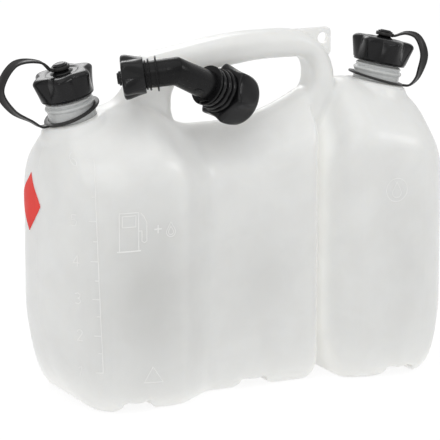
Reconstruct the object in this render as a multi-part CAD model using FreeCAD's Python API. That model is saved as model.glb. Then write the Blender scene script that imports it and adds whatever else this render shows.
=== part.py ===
import FreeCAD, Part
import math
import os

from FreeCAD import Vector

# Combination can: a large fuel tank and a small oil tank side by side, one carrying handle,
# two tethered screw caps and a bent pouring spout stowed in the handle.
# Millimetres. X runs along the can, fuel tank to oil tank. Y runs from front to back.
# Z is up from the surface that the can stands on. The mould parts in the plane Y = 0.

# Overall sizes
fuel_left_x = -190.5
fuel_right_x = 62.0
oil_left_x = 66.0
oil_right_x = 192.0
fuel_half_depth = 74.0
waist_half_depth = 45.5
oil_half_depth = 66.0
wall = 2.0
join_tolerance = 0.03
running_gap = 0.1
soft_gap = 0.3

# Plan of the tanks
fuel_corner_r = 60.0
waist_corner_r = 12.0
oil_left_corner_r = 42.0
oil_right_corner_r = 54.0
step_start_x = -89.0
step_end_x = -41.0
step_round = 11.0

# Side profile of the tanks
lobe_shape = (0.8, 0.8, 0.5)
waist_shape = (0.9, 0.4, 0.65)
oil_shape = (0.85, 0.75, 0.6)
inner_chords = (4, 2, 2, 2, 2)
base_corner_r = 14.0
end_corner_r = 42.0
end_corner_run = 48.0
saddle_z = 233.5
saddle_left_x = -46.0
saddle_drop_x = -104.0
saddle_rise_x = -20.0
saddle_rise = 24.0
saddle_power = 2.0
waist_foot_r = 16.0
fuel_shoulder_run = 24.0
fuel_shoulder_fall = 70.0
fuel_toe_run = 38.0
fuel_toe_rise = 120.0
oil_ridge_z = 263.5
oil_crest_x = 117.0
oil_inner_run = 37.5
oil_inner_fall = 85.0
oil_inner_toe_run = 18.0
oil_inner_toe_rise = 60.0
oil_shoulder_run = 46.0
oil_shoulder_fall = 74.0
oil_toe_run = 30.5
oil_toe_rise = 100.0

# Channels across the base, between the feet
base_trim = 0.4
channel_depth = 8.5
channel_floor = 20.0
channel_mouth = 42.0
channel_r = 4.0
fuel_channel_xs = (-128.0, -3.5)
oil_channel_xs = (130.5,)

# Necks
fuel_neck_x = -156.5
fuel_neck_z = 252.5
fuel_neck_tilt = -14.5
fuel_seat_s = -5.8
fuel_ring_tilt = 10.5
oil_neck_x = 139.0
oil_neck_z = 259.0
oil_neck_tilt = 13.0
oil_seat_s = -2.6
oil_ring_tilt = 4.5
neck_bore_r = 15.5
neck_wall = 2.7
neck_land_r = neck_bore_r + neck_wall
neck_root_r = neck_land_r + 2.3
lower_bead_r = neck_root_r + 1.9
upper_bead_r = neck_root_r + 0.7
bead_half = 1.6
lower_bead_s = 7.6
upper_bead_s = 11.2
neck_mouth_s = 31.0
neck_pad_r = neck_root_r + 6.0
neck_flare_r = neck_root_r + 11.0
neck_flare_depth = 9.0

# Handle
handle_half_depth = 17.0
handle_edge_r = 10.0
handle_inner_chamfer = 7.5
handle_top_z = 310.0
handle_left_x = -90.0
handle_left_z = handle_top_z - 13.5
handle_crest_x = -8.0
handle_right_x = 92.0
handle_right_root_z = 246.0
handle_right_foot_x = 60.0
handle_root_start_x = fuel_neck_x + 6.0
handle_root_start_z = fuel_neck_z - 3.5
handle_root_left_x = -112.0
handle_root_z = fuel_neck_z + 5.0
handle_foot_z = 180.0
handle_radii = (14.0, 30.0, 17.0, 300.0, 46.0, 16.0, 16.0, 14.0)
grip_thickness = 25.0
grip_left_x = -67.0
grip_left_z = 229.0
grip_right_x = 68.0
grip_right_z = 258.0
grip_bottom = ((-12.0, 214.0), (20.0, 224.0))
grip_crest_x = 18.0
grip_radii = (16.0, 22.0, 10.0, 30.0, 13.0, 13.0, 200.0)
handle_seam_z = 268.0
handle_seam_x = -124.0

# Hanging eyelet
eyelet_r = 5.0
eyelet_inset = 8.0
eyelet_drop = 10.5
flange_thickness = 4.5
flange_height = 25.0
flange_run = 40.0
flange_corner_r = 4.0
web_thickness = 4.0
web_foot_z = 34.0
web_head_z = 205.0

# Screw caps
cap_skirt_r = neck_land_r + running_gap + 4.7
cap_valley_r = cap_skirt_r + 0.6
cap_star_r = cap_skirt_r + 5.0
cap_height = 22.5
cap_skirt_s = 14.0
cap_skirt_length = 1.2
cap_ceiling = 3.5
cap_lobes = 6
cap_tip_share = 0.5
gasket_thickness = 1.8
gasket_width = 4.5
stud_neck_r = 5.0
stud_neck_height = 3.4
stud_head_r = stud_neck_r + 1.6
stud_head_height = 2.0
stud_foot_r = stud_neck_r + 4.0
stud_foot_height = 2.0

# Cap straps
ring_inner_r = neck_root_r + 0.6
ring_outer_r = ring_inner_r + 4.4
ring_thickness = 2.0
eye_outer_r = stud_neck_r + 3.2
strap_width = 7.6
strap_thickness = 2.0
band_stations = 12
strap_foot_run = 5.0
strap_foot_rise = 1.2
fuel_strap_turn = 180.0
fuel_strap_loop = ((16.0, 50.0), (39.0, 56.0), (57.5, 38.0), (51.5, 18.0), (37.0, 3.5))
fuel_strap_twist = 40.0
oil_strap_turn = -30.0
oil_strap_loop = ((18.0, 44.8), (28.5, 43.8), (37.8, 30.0), (37.6, 15.0), (35.6, 6.5))
oil_strap_twist = -60.0

# Pouring spout
spout_kink = Vector(-81.5, -49.5, 289.4)
spout_tip = Vector(-128.3, -28.5, 282.9)
spout_nut = Vector(-13.3, -28.5, 256.8)
spout_wall = 2.0
tip_r = 11.2
kink_r = 11.9
base_r = 13.4
kink_run = 7.0
tip_land_s = 26.6
tip_end_s = 43.0
fins = ((15.4, 15.2), (21.8, 13.8), (24.6, 12.8))
fin_thickness = 1.5
collar_s = 38.8
collar_r = base_r + 4.3
collar_thickness = 2.0
collar_slot_width = 2.2
collar_slot_length = 13.0
collar_slot_turn = 205.0
seal_flange_r = base_r + 3.6
seal_flange_thickness = 2.4
tip_cap_skirt_r = 15.6
tip_cap_star_r = tip_cap_skirt_r + 4.4
tip_cap_valley_r = tip_cap_skirt_r - 0.2
tip_cap_height = 19.5
tip_cap_lobes = 5
nub_r = 6.3
nub_height = 4.0
hub_s = 43.0
hub_length = 15.0
hub_rs = (base_r + 3.6, base_r + 4.8, base_r + 5.8)
spout_end_s = 68.0
nut_thread_r = seal_flange_r + 0.8
nut_skirt_r = nut_thread_r + 5.7
nut_valley_r = nut_skirt_r - 0.6
nut_star_r = nut_skirt_r + 3.2
nut_length = 25.5
nut_lobes = 6
nut_tip_share = 0.2

# Label
label_half = 25.0
label_round = 2.0
label_thickness = 0.4
label_y = 14.5
label_z = 174.5


fuel_neck = (fuel_neck_x, fuel_neck_z, fuel_neck_tilt, fuel_seat_s)
oil_neck = (oil_neck_x, oil_neck_z, oil_neck_tilt, oil_seat_s)


def smooth(t):
    """0 to 1 with level ends."""
    t = max(0.0, min(1.0, t))
    return t * t * (3.0 - 2.0 * t)


def arc_drop(distance, run, fall):
    """How far a quarter ellipse has fallen at this distance from its level end."""
    share = max(0.0, min(1.0, distance / run))
    return fall * (1.0 - math.sqrt(1.0 - share * share))


def corner_inset(distance, radius):
    """How far a round plan corner has come in at this distance past its start."""
    share = max(0.0, min(1.0, distance / radius))
    return radius * (1.0 - math.sqrt(1.0 - share * share))


def ramp(x, start, end, ease):
    """0 to 1 along a straight slope whose two ends are eased."""
    run = end - start
    at = max(0.0, min(run, x - start))
    ends = min(at, ease) ** 2 - max(0.0, at - run + ease) ** 2
    return (0.5 * ends / ease + max(0.0, at - ease)) / (run - ease)


def arc_points(centre, start, end, chords):
    """Points that split an arc round centre into equal chords."""
    first, last = start - centre, end - centre
    turn = first.getAngle(last)
    points = []
    for i in range(chords + 1):
        share = i / chords
        points.append(centre + first * (math.sin((1.0 - share) * turn) / math.sin(turn))
                      + last * (math.sin(share * turn) / math.sin(turn)))
    return points


def rounded_wire(corners, radii, chords=()):
    """Closed wire through corners, each rounded by an arc, or by so many chords of the arc."""
    count = len(corners)
    starts, mids, ends, centres = [], [], [], []
    for i, corner in enumerate(corners):
        before = (corners[i - 1] - corner).normalize()
        after = (corners[(i + 1) % count] - corner).normalize()
        half = 0.5 * math.acos(max(-1.0, min(1.0, before.dot(after))))
        tangent = radii[i] / math.tan(half)
        inward = (before + after).normalize()
        starts.append(corner + before * tangent)
        centres.append(corner + inward * (radii[i] / math.sin(half)))
        mids.append(centres[i] - inward * radii[i])
        ends.append(corner + after * tangent)
    edges = []
    for i, radius in enumerate(radii):
        if radius > 0 and chords:
            points = arc_points(centres[i], starts[i], ends[i], chords[i])
            edges += [Part.LineSegment(a, b).toShape() for a, b in zip(points, points[1:])]
        elif radius > 0:
            edges.append(Part.Arc(starts[i], mids[i], ends[i]).toShape())
        edges.append(Part.LineSegment(ends[i], starts[(i + 1) % count]).toShape())
    return Part.Wire(edges)


def tank_section(x, half_width, foot, ridge, shape, inset):
    """Upright section across a tank: level foot, straight sides, roof with a round ridge."""
    slope, ridge_share, eave_share, foot_r = shape
    w = half_width - inset
    roof = math.hypot(1.0, slope)
    ridge_r = ridge_share * half_width
    apex = ridge + ridge_r * (roof - 1.0)
    eave = apex - slope * half_width - inset * (roof - slope)
    foot = foot - base_trim + inset
    turn = math.pi / 2 - math.atan(slope)
    eave_r = eave_share * half_width - inset
    side = eave - foot - eave_r * math.tan(turn / 2)
    foot_r = min(foot_r - inset, 0.8 * side, 0.8 * w)
    corners = [Vector(x, 0, apex - inset * roof), Vector(x, w, eave), Vector(x, w, foot),
               Vector(x, -w, foot), Vector(x, -w, eave)]
    radii = [ridge_r - inset, eave_r, foot_r, foot_r, eave_r]
    return rounded_wire(corners, radii, inner_chords if inset > 0 else ())


def fuel_width(x):
    left = corner_inset(fuel_left_x + fuel_corner_r - x, fuel_corner_r)
    right = corner_inset(x - fuel_right_x + waist_corner_r, waist_corner_r)
    step = ramp(x, step_start_x, step_end_x, step_round)
    return fuel_half_depth - left - right - step * (fuel_half_depth - waist_half_depth)


def seat_line(neck, x):
    """Height at x of the roof line that carries a neck's strap ring."""
    neck_x, neck_z, tilt, seat = neck
    slope = -math.tan(math.radians(tilt))
    return neck_z + seat * math.hypot(1.0, slope) + slope * (x - neck_x)


def fuel_ridge(x):
    shoulder = seat_line(fuel_neck, min(x, saddle_drop_x))
    drop = smooth((x - saddle_drop_x) / (saddle_left_x - saddle_drop_x))
    ridge = shoulder + drop * (saddle_z - shoulder)
    if x > saddle_rise_x:
        share = (x - saddle_rise_x) / (fuel_right_x - saddle_rise_x)
        ridge += saddle_rise * share ** saddle_power
    fall = arc_drop(fuel_left_x + fuel_shoulder_run * 0.95 - x, fuel_shoulder_run, fuel_shoulder_fall)
    return ridge - fall


def fuel_foot(x):
    left = arc_drop(fuel_left_x + fuel_toe_run * 0.97 - x, fuel_toe_run, fuel_toe_rise)
    right = arc_drop(x - fuel_right_x + waist_foot_r * 0.97, waist_foot_r, waist_foot_r)
    return left + right


def fuel_form(x):
    """Roof slope, ridge and eave roundness and foot radius of the fuel tank at x."""
    step = ramp(x, step_start_x, step_end_x, step_round)
    end = smooth((fuel_left_x + end_corner_run - x) / end_corner_run)
    shape = [lobe + step * (waist - lobe) for lobe, waist in zip(lobe_shape, waist_shape)]
    return shape + [base_corner_r + end * (end_corner_r - base_corner_r)]


def oil_form(x):
    """The same four values of the oil tank."""
    end = smooth((x - oil_right_x + end_corner_run) / end_corner_run)
    return list(oil_shape) + [base_corner_r + end * (end_corner_r - base_corner_r)]


def fuel_skin(inset):
    """Closed fuel tank body, drawn in by inset on every side."""
    run = fuel_corner_r
    left = [fuel_left_x + run * share for share in (0.0, 0.03, 0.08, 0.17, 0.3, 0.48, 0.72, 1.0)]
    steps = [step_start_x, step_start_x + 0.5 * step_round, step_start_x + step_round, -65.0,
             step_end_x - step_round, step_end_x - 0.5 * step_round, step_end_x]
    middle = [saddle_drop_x] + steps + [saddle_rise_x, 0.0, 22.0, 38.0]
    right = [fuel_right_x - waist_corner_r * share for share in (1.0, 0.6, 0.25, 0.06, 0.0)]
    middle_x = 0.5 * (fuel_left_x + fuel_right_x)
    shrink = 1.0 - 2.0 * inset / (fuel_right_x - fuel_left_x)
    wires = []
    for x in left + middle + right:
        place = middle_x + (x - middle_x) * shrink
        wires.append(tank_section(place, fuel_width(x), fuel_foot(x), fuel_ridge(x), fuel_form(x), inset))
    return Part.makeLoft(wires, True, True)


def oil_width(x):
    left = corner_inset(oil_left_x + oil_left_corner_r - x, oil_left_corner_r)
    right = corner_inset(x - oil_right_x + oil_right_corner_r, oil_right_corner_r)
    return oil_half_depth - left - right


def oil_ridge(x):
    ridge = min(oil_ridge_z, seat_line(oil_neck, x))
    left = arc_drop(oil_left_x + oil_inner_run * 0.98 - x, oil_inner_run, oil_inner_fall)
    right = arc_drop(x - oil_right_x + oil_shoulder_run * 0.97, oil_shoulder_run, oil_shoulder_fall)
    return ridge - left - right


def oil_foot(x):
    left = arc_drop(oil_left_x + oil_inner_toe_run * 0.97 - x, oil_inner_toe_run, oil_inner_toe_rise)
    right = arc_drop(x - oil_right_x + oil_toe_run * 0.97, oil_toe_run, oil_toe_rise)
    return left + right


def oil_skin(inset):
    """Closed oil tank body, drawn in by inset on every side."""
    shares = (0.0, 0.03, 0.08, 0.17, 0.3, 0.48, 0.72, 1.0)
    left = [oil_left_x + oil_left_corner_r * share for share in shares]
    middle = [oil_crest_x, 127.0]
    right = [oil_right_x - oil_right_corner_r * share for share in reversed(shares)]
    middle_x = 0.5 * (oil_left_x + oil_right_x)
    shrink = 1.0 - 2.0 * inset / (oil_right_x - oil_left_x)
    wires = []
    for x in left + middle + right:
        place = middle_x + (x - middle_x) * shrink
        wires.append(tank_section(place, oil_width(x), oil_foot(x), oil_ridge(x), oil_form(x), inset))
    return Part.makeLoft(wires, True, True)


def channel(x, inset):
    """Bar that cuts one channel across the base, or keeps the wall above it."""
    deep = fuel_half_depth + 10.0
    mouth = channel_mouth / 2 + inset
    floor = channel_floor / 2 + inset
    roof = channel_depth + inset
    below = -channel_depth
    corners = [Vector(x + dx, -deep, z) for dx, z in
               ((-mouth, below), (-mouth, 0), (-floor, roof), (floor, roof), (mouth, 0), (mouth, below))]
    radii = [0.0, 0.0, channel_r, channel_r, 0.0, 0.0]
    return Part.Face(rounded_wire(corners, radii)).extrude(Vector(0, 2 * deep, 0))


def turned(points):
    """Solid of revolution about Z from (radius, height) points."""
    outline = [Vector(r, 0, z) for r, z in points]
    outline.append(outline[0])
    return Part.Face(Part.makePolygon(outline)).revolve(Vector(0, 0, 0), Vector(0, 0, 1), 360)


def on_neck(shape, neck):
    """Moves a shape from a neck's own frame, its axis upright, to the can."""
    x, z, tilt, _ = neck
    placed = shape.copy()
    placed.rotate(Vector(0, 0, 0), Vector(0, 1, 0), tilt)
    placed.translate(Vector(x, 0, z))
    return placed


def neck_outside(seat):
    """Neck on its shoulder pad, with two beads and a plain thread land."""
    low = seat - neck_flare_depth
    return turned([(0, low), (neck_flare_r, low), (neck_pad_r, seat - 0.8), (neck_pad_r - 1.0, seat),
                   (neck_root_r, seat), (neck_root_r, lower_bead_s - 1.6 * bead_half),
                   (lower_bead_r, lower_bead_s), (neck_land_r, lower_bead_s + 1.2 * bead_half),
                   (upper_bead_r, upper_bead_s), (neck_land_r, upper_bead_s + 1.2 * bead_half),
                   (neck_land_r, neck_mouth_s), (0, neck_mouth_s)])


def neck_inside(seat):
    """Bore of the neck, widening into the tank under the shoulder pad."""
    low = seat - neck_flare_depth - 2 * wall
    return turned([(0, low), (neck_flare_r - wall, low), (neck_flare_r - wall, low + 2 * wall),
                   (neck_bore_r, seat - wall), (neck_bore_r, neck_mouth_s + 1), (0, neck_mouth_s + 1)])


def handle_outline():
    """Outer outline of the handle and its roots in the plane Y = 0."""
    corners = [(handle_root_start_x, handle_root_start_z), (handle_root_left_x, handle_root_z),
               (handle_left_x, handle_left_z), (handle_crest_x, handle_top_z),
               (handle_right_x, handle_top_z), (handle_right_x, handle_right_root_z),
               (handle_right_foot_x, handle_foot_z), (handle_seam_x - 15.0, handle_foot_z)]
    return corners, handle_radii


def grip_outline():
    """Outline of the hand opening; its lower end runs out inside the tank."""
    under = handle_top_z - grip_thickness
    corners = [(grip_left_x, under - 10.0), (grip_left_x, grip_left_z), *grip_bottom,
               (grip_right_x, grip_right_z), (grip_right_x, under + 0.3), (grip_crest_x, under + 1.0)]
    return corners, grip_radii


def xz_bar(outline, half_depth, offset):
    """Bar along Y with the given XZ outline, grown or shrunk by offset."""
    corners, radii = outline
    face = Part.Face(rounded_wire([Vector(x, -half_depth, z) for x, z in corners], radii))
    if offset:
        face = face.makeOffset2D(offset)
    return face.extrude(Vector(0, 2 * half_depth, 0))


def handle_body(inset):
    """Handle with its roots and hand opening, all rims rounded, drawn in by inset."""
    half = handle_half_depth - inset
    plate = xz_bar(handle_outline(), half, -inset)
    plate = plate.cut(xz_bar(grip_outline(), half + 5.0, inset))
    rims = [edge for edge in plate.Edges if edge.BoundBox.YLength < 0.01]
    if inset:
        return plate.makeChamfer(handle_inner_chamfer, rims)
    return plate.makeFillet(handle_edge_r, rims)


def body_tanks():
    """Fuel tank, handle and oil tank, hollow, cut where one node passes to the next."""
    below = Part.makeBox(600, 200, 50, Vector(-300, -100, -50))
    oil_outer = oil_skin(0).cut(below).fuse(on_neck(neck_outside(oil_seat_s), oil_neck))
    oil_inner = oil_skin(wall).fuse(on_neck(neck_inside(oil_seat_s), oil_neck))
    for x in oil_channel_xs:
        oil_outer = oil_outer.cut(channel(x, 0))
        oil_inner = oil_inner.cut(channel(x, wall))
    oil_tank = oil_outer.cut(oil_inner)
    outer = fuel_skin(0).cut(below).fuse([handle_body(0)], join_tolerance)
    outer = outer.fuse([on_neck(neck_outside(fuel_seat_s), fuel_neck)], join_tolerance)
    inner = fuel_skin(wall).fuse([handle_body(wall)], join_tolerance)
    inner = inner.fuse([on_neck(neck_inside(fuel_seat_s), fuel_neck)], join_tolerance)
    for x in fuel_channel_xs:
        outer = outer.cut(channel(x, 0))
        inner = inner.cut(channel(x, wall))
    outer = outer.cut(oil_outer)
    inner = inner.cut(oil_skin(-wall))
    body = outer.cut(inner)
    above = Part.makeBox(300, 100, 100, Vector(handle_seam_x, -50, handle_seam_z))
    return body.cut(above), body.common(above), oil_tank


def eyelet_flange(outer_handle):
    """Thin plate with a hanging hole that fills the corner outside the handle's right bend."""
    half = flange_thickness / 2
    right, top = handle_right_x, handle_top_z - 1.2
    low = top - flange_height
    corners = [(right - flange_run, top), (right, top), (right, low), (right - 0.4 * flange_run, low)]
    plate = xz_bar((corners, [0.0, flange_corner_r, flange_corner_r, 0.0]), half, 0)
    centre = Vector(handle_right_x - eyelet_inset, -2 * half, handle_top_z - eyelet_drop)
    hole = Part.makeCylinder(eyelet_r, 4 * half, centre, Vector(0, 1, 0))
    return plate.cut(outer_handle).cut(hole)


def joining_web():
    """Thin web that ties the two tanks together in the mould's parting plane."""
    box = Part.makeBox(30.0, web_thickness, web_head_z - web_foot_z,
                       Vector(fuel_right_x - 12, -web_thickness / 2, web_foot_z))
    return box.cut([fuel_skin(0), oil_skin(0), handle_body(0)])


def side_label():
    """Diamond label wrapped round the fuel tank's left end."""
    corners = [Vector(fuel_left_x - 20, label_y + dy, label_z + dz)
               for dy, dz in ((-label_half, 0), (0, label_half), (label_half, 0), (0, -label_half))]
    bar = Part.Face(rounded_wire(corners, [label_round] * 4)).extrude(Vector(80, 0, 0))
    return bar.common(fuel_skin(-label_thickness)).cut(fuel_skin(0))


def lobed_prism(valley_r, tip_r, lobes, tip_share, low, high):
    """Upright prism with lobes; tip_share is the part of each lobe that its convex tip takes."""
    step = math.pi / lobes
    between = tip_r - tip_share * (tip_r - valley_r)
    edges = []

    def at(radius, turn):
        return Vector(radius * math.cos(turn), radius * math.sin(turn), low)

    for i in range(lobes):
        tip = 2 * step * i
        start, end = at(between, tip - tip_share * step), at(between, tip + tip_share * step)
        following = at(between, tip + (2 - tip_share) * step)
        edges.append(Part.Arc(start, at(tip_r, tip), end).toShape())
        edges.append(Part.Arc(end, at(valley_r, tip + step), following).toShape())
    return Part.Face(Part.Wire(edges)).extrude(Vector(0, 0, high - low))


def screw_cap():
    """Lobed cap that flares from its skirt, with a blind bore and the strap's stud."""
    low = cap_skirt_s
    high = low + cap_height
    prism = lobed_prism(cap_valley_r, cap_star_r, cap_lobes, cap_tip_share, low, high)
    envelope = turned([(0, low), (cap_skirt_r, low), (cap_skirt_r, low + cap_skirt_length),
                       (cap_star_r - 0.4, high - 4.0), (cap_star_r - 0.2, high - 2.4),
                       (cap_star_r - 1.2, high - 0.7), (cap_star_r - 3.0, high), (0, high)])
    body = prism.common(envelope)
    body = body.fuse(turned([(0, low), (cap_skirt_r, low), (cap_skirt_r, low + cap_skirt_length),
                             (cap_skirt_r - 2.0, high - 5.0), (0, high - 5.0)]))
    bore_r = neck_land_r + running_gap
    body = body.cut(turned([(0, low - 1), (bore_r + 1.0, low - 1), (bore_r, low + 1.0),
                            (bore_r, high - cap_ceiling), (0, high - cap_ceiling)]))
    foot = high + stud_foot_height
    head = foot + stud_neck_height
    stud = turned([(0, high - 1.0), (stud_foot_r, high - 1.0), (stud_foot_r, high), (stud_neck_r, foot),
                   (stud_neck_r, head), (stud_head_r, head), (stud_head_r, head + 0.7 * stud_head_height),
                   (stud_head_r - 1.2, head + stud_head_height), (0, head + stud_head_height)])
    return body.fuse(stud)


def cap_gasket():
    """Flat seal held under the cap's ceiling, clear of the mouth."""
    top = cap_skirt_s + cap_height - cap_ceiling - running_gap
    low = top - gasket_thickness
    outer = neck_land_r - soft_gap
    return turned([(outer - gasket_width, low), (outer, low), (outer, top), (outer - gasket_width, top)])


def ring_height(seat, tilt):
    """Height of a tilted strap ring's centre whose low side rests just over the pad."""
    return seat + running_gap + ring_thickness / 2 + ring_outer_r * math.sin(math.radians(tilt))


def on_ring(shape, seat, tilt):
    """Tips a shape drawn round the origin and lifts it to the strap ring's place on the neck."""
    shape.rotate(Vector(0, 0, 0), Vector(0, 1, 0), tilt)
    shape.translate(Vector(0, 0, ring_height(seat, tilt)))
    return shape


def strap_ring(seat, tilt):
    """Ring that turns round the foot of the neck, low on the strap's side, under the bead."""
    half = ring_thickness / 2
    outline = [(ring_inner_r, -half), (ring_outer_r, -half), (ring_outer_r, half), (ring_inner_r, half)]
    return on_ring(turned(outline), seat, tilt)


def strap_eye():
    """Eye at the end of the strap, loose round the cap's stud."""
    low = cap_skirt_s + cap_height + stud_foot_height + running_gap
    high = low + stud_neck_height - 2 * running_gap
    inner = stud_neck_r + running_gap
    return turned([(inner, low), (eye_outer_r, low), (eye_outer_r, high), (inner, high)])


def strap_band(seat, tilt, loop, twist):
    """Flat band from the eye over its loop down to the ring, twisted on its way."""
    eye_s = cap_skirt_s + cap_height + stud_foot_height + stud_neck_height / 2
    lean = math.radians(tilt)
    foot_r = ring_outer_r * math.cos(lean)
    foot_s = ring_height(seat, tilt) - ring_outer_r * math.sin(lean)
    spine = [(eye_outer_r + 2 * soft_gap, eye_s), *loop,
             (foot_r + strap_foot_run, foot_s + strap_foot_rise), (foot_r - 0.5, foot_s)]
    curve = Part.BSplineCurve()
    curve.interpolate(Points=[Vector(r, 0, s) for r, s in spine],
                      InitialTangent=Vector(1, 0, 0.35), FinalTangent=Vector(-1, 0, math.tan(lean)))
    sections = []
    for i in range(band_stations + 1):
        share = i / band_stations
        at = curve.FirstParameter + (curve.LastParameter - curve.FirstParameter) * share
        point, run = curve.value(at), curve.tangent(at)[0]
        turn = math.radians(twist) * math.sin(math.pi * share) ** 2
        normal = Vector(run.z, 0, -run.x)
        side = Vector(0, math.cos(turn), 0) + normal * math.sin(turn)
        across = side.cross(run).normalize() * (strap_thickness / 2)
        side = side * (strap_width / 2)
        corners = [point + side + across, point + side - across, point - side - across,
                   point - side + across]
        sections.append(Part.makePolygon(corners + corners[:1]))
    inside = Part.makeCylinder(ring_outer_r + join_tolerance, 6 * ring_thickness,
                               Vector(0, 0, -3 * ring_thickness))
    return Part.makeLoft(sections, True, True).cut(on_ring(inside, seat, tilt))


def tethered_cap(prefix, neck, ring_tilt, strap_turn, loop, twist):
    """Cap, seal, ring, band and eye on one neck; the strap leaves the neck at strap_turn."""
    seat = neck[3]
    shapes = {"_cap": screw_cap(), "_cap_gasket": cap_gasket(), "_strap_ring": strap_ring(seat, ring_tilt),
              "_strap_band": strap_band(seat, ring_tilt, loop, twist), "_strap_eye": strap_eye()}
    for name, shape in shapes.items():
        shape.rotate(Vector(0, 0, 0), Vector(0, 0, 1), strap_turn)
        parts[prefix + name] = on_neck(shape, neck)


def along(axis, start, shape):
    """Lays a shape drawn upward from the origin along an axis from start."""
    turn = FreeCAD.Rotation(Vector(0, 0, 1), axis)
    placed = shape.copy()
    placed.Placement = FreeCAD.Placement(start, turn).multiply(placed.Placement)
    return placed


def spout_axes():
    """Unit directions from the kink: to the tip and to the union nut."""
    to_tip = (spout_tip - spout_kink).normalize()
    to_nut = (spout_nut - spout_kink).normalize()
    return to_tip, to_nut


def spout_run(inset, tip_over, base_over):
    """Tapered tube of the spout, mitred at the kink, drawn in by inset and run past its ends."""
    to_tip, to_nut = spout_axes()
    radius = kink_r - inset
    arms = []
    for axis, other, length, end_r in ((to_tip, to_nut, tip_end_s + tip_over, tip_r),
                                       (to_nut, to_tip, spout_end_s + base_over, base_r)):
        arm = Part.makeCylinder(radius, 3 * kink_run, spout_kink - axis * (2 * kink_run), axis)
        taper = Part.makeCone(radius, end_r - inset, length - kink_run, spout_kink + axis * kink_run, axis)
        arm = arm.fuse(taper)
        beyond = Part.makeBox(100, 100, 100, Vector(-50, -50, 0))
        arms.append(arm.cut(along((other - axis).normalize(), spout_kink, beyond)))
    return arms[0].fuse(arms[1])


def spout_tube():
    """Kinked pouring spout with tip fins, collar with a slot, and sealing flange."""
    to_tip, to_nut = spout_axes()
    body = spout_run(0, 0, 0)
    for s, radius in fins:
        fin = Part.makeCylinder(radius, fin_thickness, Vector(0, 0, s))
        body = body.fuse(along(to_tip, spout_kink, fin))
    collar = Part.makeCylinder(collar_r, collar_thickness, Vector(0, 0, collar_s))
    slot = Part.makeBox(collar_slot_width, collar_slot_length, 2 * collar_thickness,
                        Vector(base_r + 0.8, -collar_slot_length / 2, collar_s - 0.5 * collar_thickness))
    collar = collar.cut(slot.rotated(Vector(0, 0, 0), Vector(0, 0, 1), collar_slot_turn))
    body = body.fuse(along(to_nut, spout_kink, collar))
    flange = Part.makeCylinder(seal_flange_r, seal_flange_thickness,
                               Vector(0, 0, spout_end_s - seal_flange_thickness))
    body = body.fuse(along(to_nut, spout_kink, flange))
    return body.cut(spout_run(spout_wall, wall, wall))


def spout_nut_part():
    """Union nut: stepped neck, grip with pointed lobes and open threaded end, loose on the tube."""
    low = hub_s
    star_low = hub_s + hub_length
    high = star_low + nut_length
    step = hub_length / len(hub_rs)
    outline = [(0, low)]
    for i, radius in enumerate(hub_rs):
        foot = low + i * step
        outline += [(radius - 0.8, foot), (radius, foot + 0.8), (radius, foot + step)]
    outline += [(nut_valley_r - 0.4, star_low), (nut_valley_r - 0.4, high - 1), (nut_valley_r - 1.4, high),
                (0, high)]
    prism = lobed_prism(nut_valley_r, nut_star_r, nut_lobes, nut_tip_share, star_low, high)
    envelope = turned([(0, star_low), (nut_star_r - 4.0, star_low), (nut_star_r - 0.8, star_low + 1.5),
                       (nut_star_r, star_low + 4.5), (nut_star_r - 1.0, star_low + 10.0),
                       (nut_skirt_r, high - 5.0), (nut_skirt_r, high), (0, high)])
    body = turned(outline).fuse(prism.common(envelope))
    seat = spout_end_s - seal_flange_thickness - running_gap
    bore_r = base_r + running_gap
    return body.cut(turned([(0, low - 1), (bore_r, low - 1), (bore_r, seat),
                            (seal_flange_r + soft_gap, seat), (nut_thread_r, seat + 6.0),
                            (nut_thread_r, high + 1), (0, high + 1)]))


def spout_gasket():
    """Seal under the flange of the spout."""
    low = spout_end_s
    high = low + gasket_thickness
    inner = base_r - spout_wall
    outer = seal_flange_r - 0.4
    return turned([(inner, low), (outer, low), (outer, high), (inner, high)])


def tip_cap():
    """Lobed cap on the spout's tip, widest at its closed end, with a centre nub."""
    low = tip_land_s
    high = low + tip_cap_height
    prism = lobed_prism(tip_cap_valley_r, tip_cap_star_r, tip_cap_lobes, cap_tip_share, low, high)
    envelope = turned([(0, low), (tip_cap_skirt_r, low), (tip_cap_skirt_r, low + 1.5),
                       (tip_cap_star_r - 0.6, high - 5.5), (tip_cap_star_r, high - 3.0),
                       (tip_cap_star_r - 0.6, high - 1.0), (tip_cap_star_r - 2.2, high), (0, high)])
    body = prism.common(envelope)
    body = body.fuse(turned([(0, low), (tip_cap_skirt_r, low), (tip_cap_skirt_r, low + 3.0),
                             (tip_cap_skirt_r - 2.0, high - 3.0), (0, high - 3.0)]))
    body = body.fuse(turned([(0, high - 1), (nub_r, high - 1), (nub_r, high + nub_height - 0.8),
                             (nub_r - 0.8, high + nub_height), (0, high + nub_height)]))
    bore_r = kink_r + 2 * running_gap
    ceiling = tip_end_s + gasket_thickness + 2 * running_gap
    return body.cut(turned([(0, low - 1), (bore_r, low - 1), (bore_r, ceiling), (0, ceiling)]))


def tip_gasket():
    """Seal disc inside the tip cap."""
    low = tip_end_s + running_gap
    return Part.makeCylinder(tip_r, gasket_thickness, Vector(0, 0, low))


def save_all():
    """Writes every sub-part with the can's overall length centred on the origin."""
    bounds = [shape.optimalBoundingBox() for shape in parts.values()]
    shift = -0.5 * (min(box.XMin for box in bounds) + max(box.XMax for box in bounds))
    print("centre shift", round(shift, 3))
    os.makedirs("parts", exist_ok=True)
    for name, shape in parts.items():
        shape.translate(Vector(shift, 0, 0))
        shape.exportStep("parts/" + name + ".step")
        print(name, "solids", len(shape.Solids), "valid", shape.isValid(), "volume", round(shape.Volume))


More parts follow.
